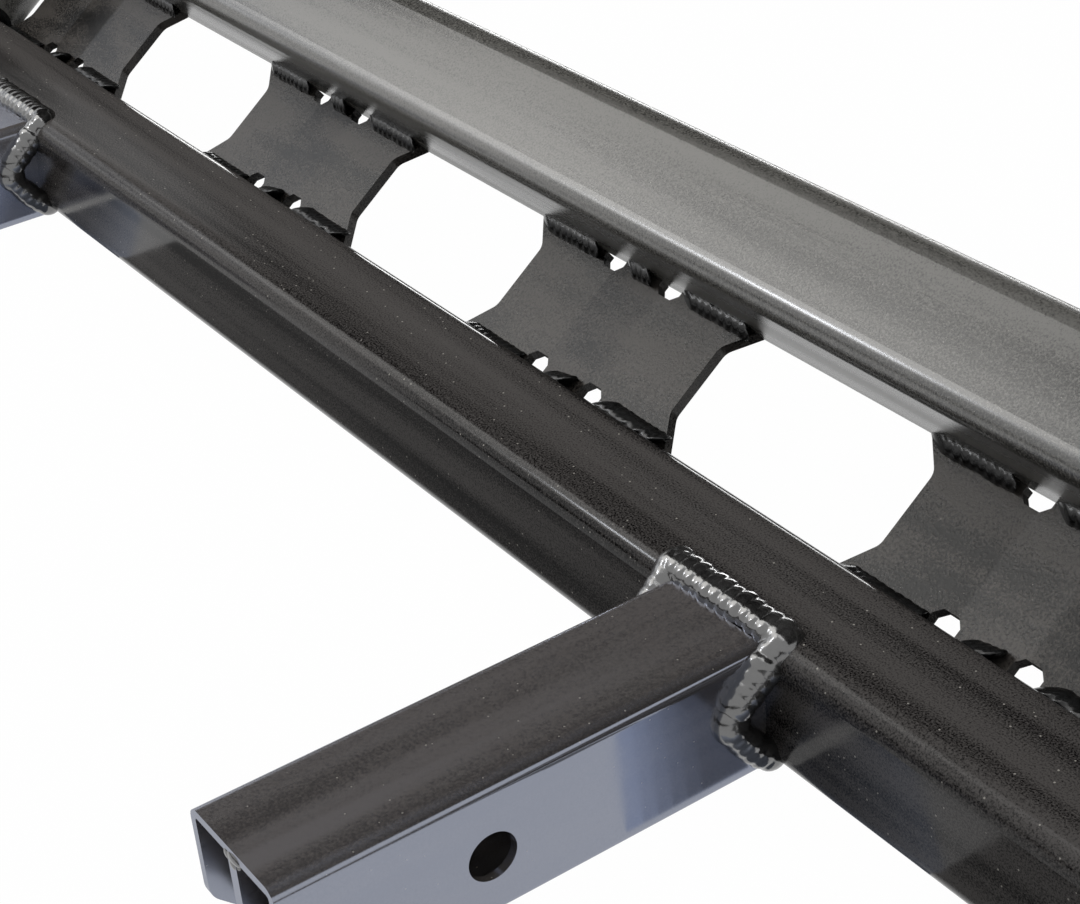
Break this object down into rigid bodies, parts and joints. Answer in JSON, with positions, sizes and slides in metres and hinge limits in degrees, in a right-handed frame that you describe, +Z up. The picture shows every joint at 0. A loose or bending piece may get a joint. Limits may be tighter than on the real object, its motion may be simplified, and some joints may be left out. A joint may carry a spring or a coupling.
{
  "type": "pair of rock sliders",
  "caption": "Pair of black steel rock sliders: square-tube side rails with raised outer rails on joggled gusset plates, and three drilled mounting legs each.",
  "frame": {"origin": "midway between the two sliders, at the middle of their length, level with the undersides of the legs", "axes": "+X forward along the rails, +Y to the left slider, +Z up"},
  "size_m": [1.772, 0.7876, 0.1361],
  "materials": {
    "rails": "satin",
    "plates": "satin",
    "legs": "satin",
    "welds": "gloss"
  },
  "bodies": {
    "root": {"left_main_rail": "rails", "left_rail_cap_front": "rails", "left_rail_cap_rear": "rails", "left_outer_rail": "rails", "left_return_front": "rails", "left_return_rear": "rails", "left_plate_1": "plates", "left_plate_2": "plates", "left_plate_3": "plates", "left_plate_4": "plates", "left_plate_5": "plates", "left_plate_6": "plates", "left_plate_7": "plates", "left_leg_rear": "legs", "left_leg_middle": "legs", "left_leg_front": "legs", "left_leg_web_rear": "legs", "left_leg_web_middle": "legs", "left_leg_web_front": "legs", "left_leg_weld_rear": "welds", "left_leg_weld_middle": "welds", "left_leg_weld_front": "welds", "left_plate_welds_inner": "welds", "left_plate_welds_outer": "welds", "left_return_weld_front": "welds", "left_return_weld_rear": "welds", "right_main_rail": "rails", "right_rail_cap_front": "rails", "right_rail_cap_rear": "rails", "right_outer_rail": "rails", "right_return_front": "rails", "right_return_rear": "rails", "right_plate_1": "plates", "right_plate_2": "plates", "right_plate_3": "plates", "right_plate_4": "plates", "right_plate_5": "plates", "right_plate_6": "plates", "right_plate_7": "plates", "right_leg_rear": "legs", "right_leg_middle": "legs", "right_leg_front": "legs", "right_leg_web_rear": "legs", "right_leg_web_middle": "legs", "right_leg_web_front": "legs", "right_leg_weld_rear": "welds", "right_leg_weld_middle": "welds", "right_leg_weld_front": "welds", "right_plate_welds_inner": "welds", "right_plate_welds_outer": "welds", "right_return_weld_front": "welds", "right_return_weld_rear": "welds"}
  },
  "joints": []
}
